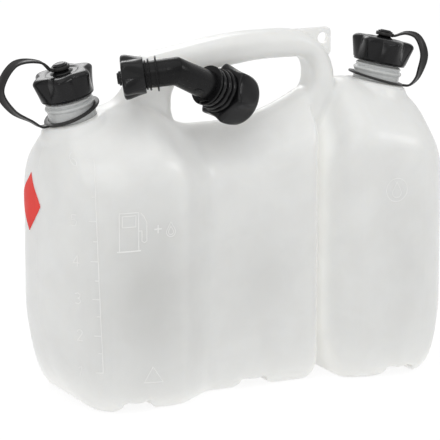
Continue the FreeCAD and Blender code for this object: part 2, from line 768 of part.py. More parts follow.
parts = {}
parts["fuel_tank"], parts["carry_handle"], parts["oil_tank"] = body_tanks()
parts["eyelet_flange"] = eyelet_flange(handle_body(0))
parts["joining_web"] = joining_web()
parts["side_label"] = side_label()
tethered_cap("fuel", fuel_neck, fuel_ring_tilt, fuel_strap_turn, fuel_strap_loop, fuel_strap_twist)
tethered_cap("oil", oil_neck, oil_ring_tilt, oil_strap_turn, oil_strap_loop, oil_strap_twist)
tip_axis, nut_axis = spout_axes()
parts["spout_tube"] = spout_tube()
parts["spout_union_nut"] = along(nut_axis, spout_kink, spout_nut_part())
parts["spout_gasket"] = along(nut_axis, spout_kink, spout_gasket())
parts["spout_tip_cap"] = along(tip_axis, spout_kink, tip_cap())
parts["spout_tip_gasket"] = along(tip_axis, spout_kink, tip_gasket())
save_all()
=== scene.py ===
"""Looks of the combination fuel can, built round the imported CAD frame."""

import math
from collections import namedtuple

import bmesh
import bpy
from mathutils import Matrix, Vector


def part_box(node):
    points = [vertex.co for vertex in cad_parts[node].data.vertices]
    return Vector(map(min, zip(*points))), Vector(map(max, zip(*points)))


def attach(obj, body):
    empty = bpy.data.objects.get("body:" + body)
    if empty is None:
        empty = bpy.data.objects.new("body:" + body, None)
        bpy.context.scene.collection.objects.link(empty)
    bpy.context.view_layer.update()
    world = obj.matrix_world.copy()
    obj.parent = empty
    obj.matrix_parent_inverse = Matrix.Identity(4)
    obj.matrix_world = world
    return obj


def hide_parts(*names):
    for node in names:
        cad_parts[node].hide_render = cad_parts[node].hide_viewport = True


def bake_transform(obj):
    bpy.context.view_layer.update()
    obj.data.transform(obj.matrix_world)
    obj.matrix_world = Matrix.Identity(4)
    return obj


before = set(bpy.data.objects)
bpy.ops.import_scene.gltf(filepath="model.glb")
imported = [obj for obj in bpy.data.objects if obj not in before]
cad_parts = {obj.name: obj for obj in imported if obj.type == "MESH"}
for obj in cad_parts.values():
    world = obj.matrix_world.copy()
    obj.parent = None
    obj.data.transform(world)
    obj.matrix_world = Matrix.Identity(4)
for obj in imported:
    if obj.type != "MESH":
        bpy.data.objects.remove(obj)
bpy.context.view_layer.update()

# Drawing sizes are in millimetres, as in the part's source, and turn into metres by MM
MM = 0.001
FUEL_LEFT = -190.5
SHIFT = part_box("fuel_tank")[0].x / MM - FUEL_LEFT
ON_AXIS = 1e-6


# Helpers

def place(x, y, z):
    """A point of the can's drawing, in millimetres, in the frame's metres."""
    return Vector(((x + SHIFT) * MM, y * MM, z * MM))


def smooth(t):
    t = max(0.0, min(1.0, t))
    return t * t * (3.0 - 2.0 * t)


def new_object(name, vertices, faces, material=None):
    mesh = bpy.data.meshes.new(name)
    mesh.from_pydata([tuple(v) for v in vertices], [], faces)
    mesh.update()
    mesh.polygons.foreach_set("use_smooth", [True] * len(mesh.polygons))
    piece = bpy.data.objects.new(name, mesh)
    bpy.context.scene.collection.objects.link(piece)
    if material:
        mesh.materials.append(material)
    return piece


def outward(piece):
    """Makes the faces of a closed mesh point outward."""
    bm = bmesh.new()
    bm.from_mesh(piece.data)
    bmesh.ops.remove_doubles(bm, verts=bm.verts, dist=1e-6)
    bmesh.ops.recalc_face_normals(bm, faces=bm.faces)
    bm.to_mesh(piece.data)
    bm.free()
    return piece


def apply_modifiers(piece):
    graph = bpy.context.evaluated_depsgraph_get()
    graph.update()
    mesh = bpy.data.meshes.new_from_object(piece.evaluated_get(graph))
    piece.modifiers.clear()
    piece.data = mesh
    return piece


def sharp_edges(piece, angle=35.0):
    """Smooth shading with creases kept."""
    piece.data.polygons.foreach_set("use_smooth", [True] * len(piece.data.polygons))
    piece.data.set_sharp_from_angle(angle=math.radians(angle))
    return piece


def round_corners(corners, radii, steps=8, closed=True):
    """Polyline through 2-D corners with each corner turned by an arc."""
    nearly_straight = 1.569
    line = []
    count = len(corners)
    for i, (x, y) in enumerate(corners):
        corner = Vector((x, y))
        if not closed and i in (0, count - 1):
            line.append(corner)
            continue
        before = (Vector(corners[i - 1]) - corner).normalized()
        after = (Vector(corners[(i + 1) % count]) - corner).normalized()
        half = 0.5 * before.angle(after)
        radius = radii[i]
        if radius <= 0 or half > nearly_straight:
            line.append(corner)
            continue
        reach = radius / math.tan(half)
        inward = (before + after).normalized()
        centre = corner + inward * (radius / math.sin(half))
        first = corner + before * reach - centre
        last = corner + after * reach - centre
        turn = math.pi - 2 * half
        side = 1.0 if first.x * last.y - first.y * last.x > 0 else -1.0
        for k in range(steps + 1):
            a = side * turn * k / steps
            line.append(centre + Vector((first.x * math.cos(a) - first.y * math.sin(a),
                                         first.x * math.sin(a) + first.y * math.cos(a))))
    return line


def ridge_share(a, lobes, power, blunt):
    """1 on a ridge and 0 between two; a larger blunt rounds the ridge."""
    u = 2.0 * abs((a * lobes / (2 * math.pi) + 0.5) % 1.0 - 0.5)
    v = (math.hypot(u, blunt) - blunt) / (math.hypot(1.0, blunt) - blunt)
    return (1.0 - v) ** power


def spun(name, rings, material, segments=72, lobes=0, power=1.5, blunt=0.2, extra=None):
    """Body turned about Z from (radius, height) or (radius, height, lobe) rings.

    It runs from axis to axis, or is closed into a tube. The lobe adds to the radius at each of the
    lobes, and extra(angle, height, radius) adds more."""
    vertices, faces, starts = [], [], []
    for ring in rings:
        r, s = ring[0], ring[1]
        lobe = ring[2] if len(ring) > 2 else 0.0
        starts.append(len(vertices))
        if r < ON_AXIS:
            vertices.append(Vector((0, 0, s)))
            continue
        for k in range(segments):
            a = 2 * math.pi * k / segments
            grow = lobe * ridge_share(a, lobes, power, blunt) if lobe else 0.0
            if extra:
                grow += extra(a, s, r)
            vertices.append(Vector(((r + grow) * math.cos(a), (r + grow) * math.sin(a), s)))
    closed = rings[0][0] > ON_AXIS
    count = len(rings)
    for i in range(count if closed else count - 1):
        a, b = starts[i], starts[(i + 1) % count]
        one_a, one_b = rings[i][0] < ON_AXIS, rings[(i + 1) % count][0] < ON_AXIS
        for k in range(segments):
            n = (k + 1) % segments
            if one_a and one_b:
                continue
            if one_a:
                faces.append((a, b + k, b + n))
            elif one_b:
                faces.append((a + k, b, a + n))
            else:
                faces.append((a + k, b + k, b + n, a + n))
    piece = new_object(name, [v * MM for v in vertices], faces, material)
    return sharp_edges(outward(piece))


def profile(corners, radii, steps=4):
    """Rounded (radius, height) profile for spun."""
    return [(max(p.x, 0.0), p.y) for p in round_corners(corners, radii, steps, closed=False)]


def stand_on(piece, origin, axis, turn=0.0):
    """Moves a piece drawn upward from the origin so that it stands on origin along axis."""
    axis = Vector(axis).normalized()
    rotation = Vector((0, 0, 1)).rotation_difference(axis).to_matrix().to_4x4()
    piece.data.transform(Matrix.Translation(origin) @ rotation @ Matrix.Rotation(turn, 4, "Z"))
    piece.data.update()
    return piece


def ring_loft(name, rings, material=None, closed=False):
    """Skin through rings of equally many points, closed by a fan at each end or into a tube."""
    count = len(rings[0])
    vertices = [p for ring in rings for p in ring]
    faces = []
    for i in range(len(rings) if closed else len(rings) - 1):
        j = (i + 1) % len(rings)
        for k in range(count):
            n = (k + 1) % count
            faces.append((i * count + k, i * count + n, j * count + n, j * count + k))
    if not closed:
        for i in (0, len(rings) - 1):
            ring = rings[i]
            middle = sum((Vector(p) for p in ring), Vector()) / count
            vertices.append(middle)
            for k in range(count):
                faces.append((i * count + k, len(vertices) - 1, i * count + (k + 1) % count))
    return outward(new_object(name, vertices, faces, material))


# Materials

def nodes_of(name):
    """A new material with its node tree and its Principled shader."""
    material = bpy.data.materials.new(name)
    material.use_nodes = True
    tree = material.node_tree
    return material, tree, tree.nodes["Principled BSDF"]


def add_noise(tree, scale, detail=4.0, distort=0.0):
    coordinates = tree.nodes.new("ShaderNodeTexCoord")
    noise = tree.nodes.new("ShaderNodeTexNoise")
    noise.inputs["Scale"].default_value = scale
    noise.inputs["Detail"].default_value = detail
    noise.inputs["Distortion"].default_value = distort
    tree.links.new(coordinates.outputs["Object"], noise.inputs["Vector"])
    return noise


def ramp_colour(tree, source, low, high, start=0.35, end=0.65):
    ramp = tree.nodes.new("ShaderNodeValToRGB")
    ramp.color_ramp.elements[0].position = start
    ramp.color_ramp.elements[0].color = (*low, 1)
    ramp.color_ramp.elements[1].position = end
    ramp.color_ramp.elements[1].color = (*high, 1)
    tree.links.new(source, ramp.inputs["Fac"])
    return ramp.outputs["Color"]


def remap(tree, source, low, high):
    fit = tree.nodes.new("ShaderNodeMapRange")
    fit.inputs["To Min"].default_value = low
    fit.inputs["To Max"].default_value = high
    tree.links.new(source, fit.inputs["Value"])
    return fit.outputs["Result"]


def bump(tree, shader, sources):
    """Chains bumps, each (height socket, strength, distance)."""
    normal = None
    for source, strength, distance in sources:
        node = tree.nodes.new("ShaderNodeBump")
        node.inputs["Strength"].default_value = strength
        node.inputs["Distance"].default_value = distance
        tree.links.new(source, node.inputs["Height"])
        if normal:
            tree.links.new(normal, node.inputs["Normal"])
        normal = node.outputs["Normal"]
    tree.links.new(normal, shader.inputs["Normal"])


def plastic(name, low, high, rough, grain, grain_depth, wave_depth=0.0, specular=0.5):
    """Moulded plastic: two close tones, uneven roughness, fine grain and slow waves."""
    material, tree, shader = nodes_of(name)
    cloud = add_noise(tree, 38.0, 5.0, 0.4)
    tree.links.new(ramp_colour(tree, cloud.outputs["Fac"], low, high), shader.inputs["Base Color"])
    blotch = add_noise(tree, 120.0, 6.0)
    tree.links.new(remap(tree, blotch.outputs["Fac"], rough[0], rough[1]), shader.inputs["Roughness"])
    fine = add_noise(tree, grain, 3.0)
    sources = [(fine.outputs["Fac"], 0.35, grain_depth)]
    if wave_depth:
        slow = add_noise(tree, 26.0, 2.0, 0.6)
        sources.append((slow.outputs["Fac"], 0.5, wave_depth))
    bump(tree, shader, sources)
    shader.inputs["Specular IOR Level"].default_value = specular
    return material, tree, shader


def milky(shader, weight, scale):
    """Light that wanders inside the wall."""
    shader.inputs["Subsurface Weight"].default_value = weight
    shader.inputs["Subsurface Radius"].default_value = (1.0, 0.93, 0.82)
    shader.inputs["Subsurface Scale"].default_value = scale


def hollow_shade(tree, shader, hollows):
    """Greys the skin over the middle of each hollow, front and back, where least light comes through."""
    coordinates = tree.nodes.new("ShaderNodeTexCoord")
    colour = shader.inputs["Base Color"].links[0].from_socket
    places = [((x, side * y, z), reach, depth) for (x, y, z), reach, depth in hollows for side in (-1, 1)]
    for centre, reach, depth in places:
        fit = tree.nodes.new("ShaderNodeMapping")
        fit.vector_type = "TEXTURE"
        fit.inputs["Location"].default_value = centre
        fit.inputs["Scale"].default_value = reach
        tree.links.new(coordinates.outputs["Object"], fit.inputs["Vector"])
        ball = tree.nodes.new("ShaderNodeTexGradient")
        ball.gradient_type = "QUADRATIC_SPHERE"
        tree.links.new(fit.outputs["Vector"], ball.inputs["Vector"])
        share = tree.nodes.new("ShaderNodeMapRange")
        share.interpolation_type = "SMOOTHSTEP"
        share.inputs["From Max"].default_value = 1.0
        share.inputs["To Max"].default_value = depth
        tree.links.new(ball.outputs["Fac"], share.inputs["Value"])
        mix = tree.nodes.new("ShaderNodeMixRGB")
        mix.inputs["Color2"].default_value = (0.40, 0.40, 0.385, 1)
        tree.links.new(share.outputs["Result"], mix.inputs["Fac"])
        tree.links.new(colour, mix.inputs["Color1"])
        colour = mix.outputs["Color"]
    tree.links.new(colour, shader.inputs["Base Color"])


def painted_crease_glow(tree, shader, distance, strength):
    """Painted light: an emission glow, strongest where ambient occlusion finds creases, standing in for light
    that comes through the thin milky wall where the outside light doesn't reach.
    """
    reach = tree.nodes.new("ShaderNodeAmbientOcclusion")
    reach.samples = 6
    reach.inputs["Distance"].default_value = distance
    share = tree.nodes.new("ShaderNodeMapRange")
    share.inputs["From Min"].default_value = 0.82
    share.inputs["From Max"].default_value = 0.25
    share.inputs["To Max"].default_value = strength
    tree.links.new(reach.outputs["AO"], share.inputs["Value"])
    shader.inputs["Emission Color"].default_value = (1.0, 0.985, 0.95, 1)
    tree.links.new(share.outputs["Result"], shader.inputs["Emission Strength"])


# Each hollow: the middle of its front wall, its reach and how much it greys, in metres
LOBE_HOLLOW = ((-0.10, 0.075, 0.105), (0.135, 0.12, 0.19), 0.46)
WAIST_HOLLOW = ((0.02, 0.046, 0.105), (0.11, 0.09, 0.15), 0.22)
OIL_HOLLOW = ((0.15, 0.066, 0.11), (0.10, 0.09, 0.17), 0.18)

moulding, moulding_tree, moulding_shader = plastic(
    "milky_polyethylene", low=(0.74, 0.743, 0.73), high=(0.77, 0.775, 0.762), rough=(0.26, 0.36),
    grain=900.0, grain_depth=0.0001, wave_depth=0.0007)
milky(moulding_shader, 0.45, 0.012)
hollow_shade(moulding_tree, moulding_shader, (LOBE_HOLLOW, WAIST_HOLLOW, OIL_HOLLOW))
# Painted light: the milky moulding glows a little in its creases and gaps
painted_crease_glow(moulding_tree, moulding_shader, 0.06, 0.19)

# Painted shade: the necks get a darker copy of the milky moulding, for the shadow of the black caps over them
painted_shade_neck_moulding, _, neck_shader = plastic(
    "shaded_polyethylene", low=(0.50, 0.51, 0.505), high=(0.54, 0.55, 0.545), rough=(0.22, 0.32),
    grain=900.0, grain_depth=0.0001)
milky(neck_shader, 0.3, 0.004)

# Painted highlight: the raised marks are moulded in the same milky plastic, but get a lighter tone and no
# subsurface, for the light that their ridges catch
painted_highlight_marking, _, _ = plastic(
    "raised_marking", low=(0.79, 0.79, 0.78), high=(0.83, 0.83, 0.82), rough=(0.30, 0.42),
    grain=900.0, grain_depth=0.00005)
gloss_black, _, _ = plastic(
    "black_gloss_plastic", low=(0.004, 0.004, 0.0045), high=(0.009, 0.009, 0.0095), rough=(0.15, 0.28),
    grain=1400.0, grain_depth=0.00008, wave_depth=0.0004, specular=0.24)
tube_black, _, _ = plastic(
    "black_tube_plastic", low=(0.003, 0.003, 0.0033), high=(0.007, 0.007, 0.0074), rough=(0.20, 0.34),
    grain=1500.0, grain_depth=0.0001, wave_depth=0.0004, specular=0.17)
strap_black, _, _ = plastic(
    "black_strap_plastic", low=(0.010, 0.0095, 0.0095), high=(0.018, 0.017, 0.0165), rough=(0.30, 0.44),
    grain=1800.0, grain_depth=0.0001, specular=0.34)
seal_rubber, _, _ = plastic(
    "seal_rubber", low=(0.030, 0.030, 0.030), high=(0.050, 0.050, 0.050), rough=(0.6, 0.8),
    grain=1500.0, grain_depth=0.0001)
label_film, _, _ = plastic(
    "red_label_film", low=(0.74, 0.022, 0.014), high=(0.80, 0.032, 0.020), rough=(0.42, 0.55),
    grain=900.0, grain_depth=0.00006, wave_depth=0.0002, specular=0.22)


# The moulded body

FUEL_RIGHT, OIL_LEFT, OIL_RIGHT = 62.0, 66.0, 192.0
FUEL_DEPTH, WAIST_DEPTH, OIL_DEPTH = 74.0, 45.5, 66.0

# Each curve at a tank's end: the X where it starts, its run and its fall
FUEL_CORNER = (FUEL_LEFT + 60.0, 60.0, 60.0)
FUEL_SHOULDER = (FUEL_LEFT + 22.8, 24.0, 70.0)
FUEL_TOE = (FUEL_LEFT + 36.9, 38.0, 120.0)
WAIST_CORNER = (FUEL_RIGHT - 12.0, 12.0, 12.0)
WAIST_TOE = (FUEL_RIGHT - 15.5, 16.0, 16.0)
OIL_INNER_CORNER = (OIL_LEFT + 42.0, 42.0, 42.0)
OIL_INNER_SHOULDER = (OIL_LEFT + 36.75, 37.5, 85.0)
OIL_INNER_TOE = (OIL_LEFT + 17.5, 18.0, 60.0)
OIL_CORNER = (OIL_RIGHT - 54.0, 54.0, 54.0)
OIL_SHOULDER = (OIL_RIGHT - 44.6, 46.0, 74.0)
OIL_TOE = (OIL_RIGHT - 29.6, 30.5, 100.0)

# The slope from lobe to waist, and the roof's fall and rise over the waist
STEP_START, STEP_END, STEP_ROUND = -89.0, -41.0, 11.0
SADDLE_DROP, SADDLE_RUN, SADDLE_Z = -104.0, 58.0, 233.5
SADDLE_RISE_START, SADDLE_RISE = -20.0, 24.0
OIL_RIDGE_Z = 263.5

# Shares of the half width for the ridge's and the eave's radius, after the roof's slope
LOBE_FORM, WAIST_FORM, OIL_FORM = (0.8, 0.8, 0.5), (0.9, 0.4, 0.65), (0.85, 0.75, 0.6)
FOOT_R, END_FOOT_GROWTH, END_FOOT_RUN = 14.0, 28.0, 48.0

# A neck's foot, its lean in degrees, the height of its seat above the foot, and its tether
Neck = namedtuple("Neck", "prefix x z lean seat ring_tilt strap_turn strap_loop strap_twist")
FUEL_NECK = Neck("fuel", -156.5, 252.5, -14.5, -5.8, 10.5, 180.0,
                 ((16.0, 50.0), (39.0, 56.0), (57.5, 38.0), (51.5, 18.0), (37.0, 3.5)), 40.0)
OIL_NECK = Neck("oil", 139.0, 259.0, 13.0, -2.6, 4.5, -30.0,
                ((18.0, 44.8), (28.5, 43.8), (37.8, 30.0), (37.6, 15.0), (35.6, 6.5)), -60.0)
BORE_R = 15.5


def arc_drop(distance, run, fall):
    """How far a quarter ellipse has fallen at this distance from its level end."""
    share = max(0.0, min(1.0, distance / run))
    return fall * (1.0 - math.sqrt(1.0 - share * share))


def leftward(curve, x):
    start, run, fall = curve
    return arc_drop(start - x, run, fall)


def rightward(curve, x):
    start, run, fall = curve
    return arc_drop(x - start, run, fall)


def ramp(x, start, end, ease):
    """0 to 1 along a straight slope whose two ends are eased."""
    run = end - start
    at = max(0.0, min(run, x - start))
    ends = min(at, ease) ** 2 - max(0.0, at - run + ease) ** 2
    return (0.5 * ends / ease + max(0.0, at - ease)) / (run - ease)


def seat_line(neck, x):
    """Height at x of the roof line that carries a neck."""
    slope = -math.tan(math.radians(neck.lean))
    return neck.z + neck.seat * math.hypot(1.0, slope) + slope * (x - neck.x)


def section(x, half_width, foot, ridge, form):
    """Ring of points across a tank: level foot, straight sides, domed roof."""
    slope, ridge_part, eave_part, foot_r = form
    ridge_r = ridge_part * half_width
    apex = ridge + ridge_r * (math.hypot(1.0, slope) - 1.0)
    eave = apex - slope * half_width
    turn = math.pi / 2 - math.atan(slope)
    eave_r = eave_part * half_width
    side = eave - foot - eave_r * math.tan(turn / 2)
    foot_r = min(foot_r, 0.8 * side, 0.8 * half_width)
    corners = [(0, apex), (half_width, eave), (half_width, foot), (-half_width, foot),
               (-half_width, eave)]
    line = round_corners(corners, [ridge_r, eave_r, foot_r, foot_r, eave_r], 12)
    return [place(x, p.x, p.y) for p in even_out(line, 120)]


def even_out(line, count):
    """Closed polyline resampled to equally spaced points from its first point."""
    total = [0.0]
    for i in range(len(line)):
        total.append(total[-1] + (line[(i + 1) % len(line)] - line[i]).length)
    points, k = [], 0
    for i in range(count):
        at = total[-1] * i / count
        while total[k + 1] < at:
            k += 1
        share = (at - total[k]) / max(total[k + 1] - total[k], 1e-9)
        points.append(line[k].lerp(line[(k + 1) % len(line)], share))
    return points


def fuel_section(x):
    step = ramp(x, STEP_START, STEP_END, STEP_ROUND)
    width = FUEL_DEPTH - leftward(FUEL_CORNER, x) - rightward(WAIST_CORNER, x)
    width -= step * (FUEL_DEPTH - WAIST_DEPTH)
    shoulder = seat_line(FUEL_NECK, min(x, SADDLE_DROP))
    ridge = shoulder + smooth((x - SADDLE_DROP) / SADDLE_RUN) * (SADDLE_Z - shoulder)
    if x > SADDLE_RISE_START:
        ridge += SADDLE_RISE * ((x - SADDLE_RISE_START) / (FUEL_RIGHT - SADDLE_RISE_START)) ** 2
    ridge -= leftward(FUEL_SHOULDER, x)
    foot = leftward(FUEL_TOE, x) + rightward(WAIST_TOE, x)
    form = [a + step * (b - a) for a, b in zip(LOBE_FORM, WAIST_FORM)]
    end = smooth((FUEL_LEFT + END_FOOT_RUN - x) / END_FOOT_RUN)
    return section(x, width, foot, ridge, [*form, FOOT_R + END_FOOT_GROWTH * end])


def oil_section(x):
    width = OIL_DEPTH - leftward(OIL_INNER_CORNER, x) - rightward(OIL_CORNER, x)
    ridge = min(OIL_RIDGE_Z, seat_line(OIL_NECK, x))
    ridge -= leftward(OIL_INNER_SHOULDER, x) + rightward(OIL_SHOULDER, x)
    foot = leftward(OIL_INNER_TOE, x) + rightward(OIL_TOE, x)
    end = smooth((x - OIL_RIGHT + END_FOOT_RUN) / END_FOOT_RUN)
    return section(x, width, foot, ridge, [*OIL_FORM, FOOT_R + END_FOOT_GROWTH * end])


def stations(low, high, run_low, run_high, ends=16, between=3.0):
    """X stations, close together towards both ends."""
    left = [low + run_low * (k / ends) ** 2 for k in range(ends)]
    right = [high - run_high * (k / ends) ** 2 for k in range(ends)]
    count = int((high - run_high - low - run_low) / between)
    middle = [low + run_low + (high - run_high - low - run_low) * k / count for k in range(count + 1)]
    return left + middle + right[::-1]


def offset_outline(corners, radii, inset):
    """Rounded outline drawn in by inset; radii of convex corners shrink, of hollow ones grow."""
    count = len(corners)
    area = sum(corners[i - 1][0] * corners[i][1] - corners[i][0] * corners[i - 1][1] for i in range(count))
    sign = 1.0 if area > 0 else -1.0
    moved, sizes = [], []
    for i in range(count):
        p, c, n = (Vector(corners[j % count]) for j in (i - 1, i, i + 1))
        a, b = (c - p).normalized(), (n - c).normalized()
        na, nb = Vector((-a.y, a.x)) * sign, Vector((-b.y, b.x)) * sign
        bisect = (na + nb) / (1.0 + na.dot(nb))
        moved.append(c + bisect * inset)
        convex = (a.x * b.y - a.y * b.x) * sign > 0
        sizes.append(max(0.5, radii[i] + (-inset if convex else inset)))
    return moved, sizes


def rounded_bar(name, corners, radii, half, edge, flare=1.0, extra=0.0):
    """Bar along Y with an XZ outline whose rims are rounded in (flare 1) or out (flare -1)."""
    rings = []
    for k in range(-8, 9):
        a = math.pi / 2 * k / 8
        inset = flare * edge * (1.0 - math.cos(a))
        y = math.copysign(half - edge, k) + edge * math.sin(a) if k else 0.0
        moved, sizes = offset_outline(corners, radii, inset)
        rings.append((y, round_corners(moved, sizes, 8)))
    if extra:
        rings = [(-half - extra, rings[0][1])] + rings + [(half + extra, rings[-1][1])]
    return ring_loft(name, [[place(p.x, y, p.y) for p in line] for y, line in rings])


def cut(piece, other):
    """Takes other out of piece and removes it."""
    modifier = piece.modifiers.new("cut", "BOOLEAN")
    modifier.object = other
    modifier.operation = "DIFFERENCE"
    modifier.solver = "EXACT"
    apply_modifiers(piece)
    bpy.data.objects.remove(other)
    return piece


def join(pieces, name):
    """One new piece that takes the place of the pieces."""
    bm = bmesh.new()
    for piece in pieces:
        bm.from_mesh(piece.data)
    mesh = bpy.data.meshes.new(name)
    bm.to_mesh(mesh)
    bm.free()
    for piece in pieces:
        bpy.data.objects.remove(piece)
    joined = bpy.data.objects.new(name, mesh)
    bpy.context.scene.collection.objects.link(joined)
    return joined


def neck_frame(neck):
    """Foot and direction of a neck."""
    a = math.radians(neck.lean)
    return place(neck.x, 0, neck.z), Vector((math.sin(a), 0, math.cos(a)))


HANDLE_CORNERS = [(-150.5, 249.0), (-112.0, 257.5), (-90.0, 296.5), (-8.0, 310.0), (92.0, 310.0),
                  (92.0, 246.0), (60.0, 180.0), (-139.0, 180.0)]
HANDLE_RADII = [14.0, 30.0, 17.0, 300.0, 46.0, 16.0, 16.0, 14.0]
GRIP_CORNERS = [(-67.0, 275.0), (-67.0, 229.0), (-12.0, 214.0), (20.0, 224.0), (68.0, 258.0),
                (68.0, 285.3), (18.0, 286.0)]
GRIP_RADII = [20.0, 30.0, 10.0, 30.0, 14.0, 13.0, 200.0]
HANDLE_HALF, HANDLE_EDGE = 17.0, 10.5
CHANNEL_XS = (-128.0, -3.5, 130.5)
VOXEL = 1.8
SMOOTHING_ROUNDS = 8


def channel_bar(x):
    """Bar that cuts one channel across the base."""
    depth, roof, mouth, past, reach = 8.5, 10, 21, 27, 110
    corners = [(x - past, -8), (x - mouth, 0), (x - roof, depth), (x + roof, depth), (x + mouth, 0),
               (x + past, -8)]
    line = round_corners(corners, [0.5, 3, 4, 4, 3, 0.5], 5)
    return ring_loft("channel", [[place(p.x, y, p.y) for p in line] for y in (-reach, reach)])


def neck_hollow(neck):
    """Room under a neck, seen through the open mouth."""
    low, high, room_r = -75, neck.seat + 4, 27
    line = profile([(0, low), (room_r - 3, low), (room_r, low + 15), (room_r, neck.seat - 17),
                    (BORE_R, neck.seat - 7), (BORE_R, high), (0, high)], [0, 6, 10, 3, 2, 0, 0])
    return stand_on(spun("hollow", line, None, 64), *neck_frame(neck))


handle = rounded_bar("handle", HANDLE_CORNERS, HANDLE_RADII, HANDLE_HALF, HANDLE_EDGE)
grip = rounded_bar("grip", GRIP_CORNERS, GRIP_RADII, HANDLE_HALF, HANDLE_EDGE, -1.0, 3.0)
cut(handle, grip)
fuel = ring_loft("fuel", [fuel_section(x) for x in stations(FUEL_LEFT, FUEL_RIGHT, 60.0, 14.0)])
oil = ring_loft("oil", [oil_section(x) for x in stations(OIL_LEFT, OIL_RIGHT, 42.0, 54.0)])
pads = []
for neck in (FUEL_NECK, OIL_NECK):
    seat = neck.seat
    line = profile([(0, seat - 12), (33, seat - 12), (28.5, seat - 3), (26.5, seat), (0, seat)],
                   [0, 1, 4, 2, 0])
    pads.append(stand_on(spun("pad", line, None), *neck_frame(neck)))

body = join([fuel, handle, oil] + pads, "can_skin")
remesh = body.modifiers.new("remesh", "REMESH")
remesh.mode = "VOXEL"
remesh.voxel_size = VOXEL * MM
apply_modifiers(body)
cutters = [channel_bar(x) for x in CHANNEL_XS] + [neck_hollow(FUEL_NECK), neck_hollow(OIL_NECK)]
cut(body, join(cutters, "cutters"))
soft = body.modifiers.new("soft", "SMOOTH")
soft.factor = 0.5
soft.iterations = SMOOTHING_ROUNDS
apply_modifiers(body)
body.data.materials.clear()
body.data.materials.append(moulding)
sharp_edges(body, 60)
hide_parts("fuel_tank", "carry_handle", "oil_tank")


# Raised marks and the label

def on_body(origin, direction):
    """Point and outward direction of the body's skin met from origin."""
    hit, point, normal, _ = body.ray_cast(origin, direction)
    return (point, normal) if hit else None


RIBBON_OUTLINE = ((-0.5, -0.6), (-0.3, 0.8), (0.0, 1.0), (0.3, 0.8), (0.5, -0.6), (0.0, -0.8))
BEFORE = -150.0


def ribbon(origins, direction, width=1.0, height=0.16):
    """Low raised line on the skin where rays from the origins meet it."""
    met = [m for m in (on_body(o, direction) for o in origins) if m]
    rings = []
    for i, (point, normal) in enumerate(met):
        ahead = met[min(i + 1, len(met) - 1)][0] - met[max(i - 1, 0)][0]
        if ahead.length < 1e-7:
            continue
        side = ahead.normalized().cross(normal)
        rings.append([point + (side * (width * a) + normal * (height * b)) * MM for a, b in RIBBON_OUTLINE])
    return ring_loft("ribbon", rings) if len(rings) > 1 else None


def stroke(points, **form):
    """Ribbon on the front along a polyline of (x, z) points."""
    origins = []
    for (x0, z0), (x1, z1) in zip(points, points[1:]):
        count = max(2, int(math.hypot(x1 - x0, z1 - z0)))
        origins += [place(x0 + (x1 - x0) * k / count, BEFORE, z0 + (z1 - z0) * k / count)
                    for k in range(count)]
    origins.append(place(points[-1][0], BEFORE, points[-1][1]))
    return ribbon(origins, Vector((0, 1, 0)), **form)


# Plain numerals in a box 1 high
NUMERALS = {
    1: [(0.1, 0.8), (0.35, 1.0), (0.35, 0.0)],
    2: [(0.0, 0.8), (0.12, 0.97), (0.38, 1.0), (0.58, 0.82), (0.52, 0.58), (0.0, 0.0), (0.62, 0.0)],
    3: [(0.0, 0.92), (0.3, 1.0), (0.56, 0.85), (0.5, 0.6), (0.25, 0.53), (0.52, 0.45), (0.6, 0.2),
        (0.35, 0.0), (0.0, 0.08)],
    4: [(0.45, 0.0), (0.45, 1.0), (0.0, 0.3), (0.65, 0.3)],
    5: [(0.55, 1.0), (0.08, 1.0), (0.04, 0.56), (0.35, 0.62), (0.6, 0.4), (0.5, 0.06), (0.25, 0.0),
        (0.0, 0.08)],
    6: [(0.5, 1.0), (0.16, 0.75), (0.02, 0.35), (0.18, 0.03), (0.48, 0.05), (0.6, 0.3), (0.42, 0.56),
        (0.08, 0.42)]}
NUMERAL_WIDTH, NUMERAL_HEIGHT, NUMERAL_LEFT = 5.5, 9.6, 16.5
LITRE_TICK, HALF_TICK = 5.2, 2.8

# Heights of the litre marks, and the line that they hang on
LITRES = {6.0: 219.8, 5.5: 190.7, 5.0: 169.6, 4.5: 152.3, 4.0: 135.0, 3.5: 118.4, 3.0: 102.3, 2.5: 87.3,
          2.0: 70.4, 1.5: 54.9, 1.0: 38.2}
LITRE_LINE = [(-158.8, 219.8), (-162.7, 204.9), (-163.1, 188.3), (-162.7, 171.1), (-161.7, 136.7),
              (-158.6, 38.2)]


def litre_line(z):
    """X of the line at height z."""
    for (x0, z0), (x1, z1) in zip(LITRE_LINE, LITRE_LINE[1:]):
        if z >= z1:
            return x0 + (x1 - x0) * (z0 - z) / (z0 - z1)
    return LITRE_LINE[-1][0]


marks = [stroke(LITRE_LINE)]
for litre, z in LITRES.items():
    x = litre_line(z)
    whole = litre == int(litre)
    marks.append(stroke([(x, z), (x - (LITRE_TICK if whole else HALF_TICK), z)]))
    if whole:
        marks.append(stroke([(x - NUMERAL_LEFT + NUMERAL_WIDTH * px, z + NUMERAL_HEIGHT * (pz - 0.5))
                             for px, pz in NUMERALS[int(litre)]]))


def closed_stroke(points, **form):
    return stroke(list(points) + [points[0]], **form)


def circle(x, z, r, count=16):
    return [(x + r * math.cos(2 * math.pi * k / count), z + r * math.sin(2 * math.pi * k / count))
            for k in range(count)]


def drop_outline(x, z, r):
    """Plain liquid drop: a circle drawn up into a point."""
    return [(x, z + 2.1 * r)] + [(x + r * math.cos(math.radians(a)), z + r * math.sin(math.radians(a)))
                                 for a in range(35, -216, -25)]


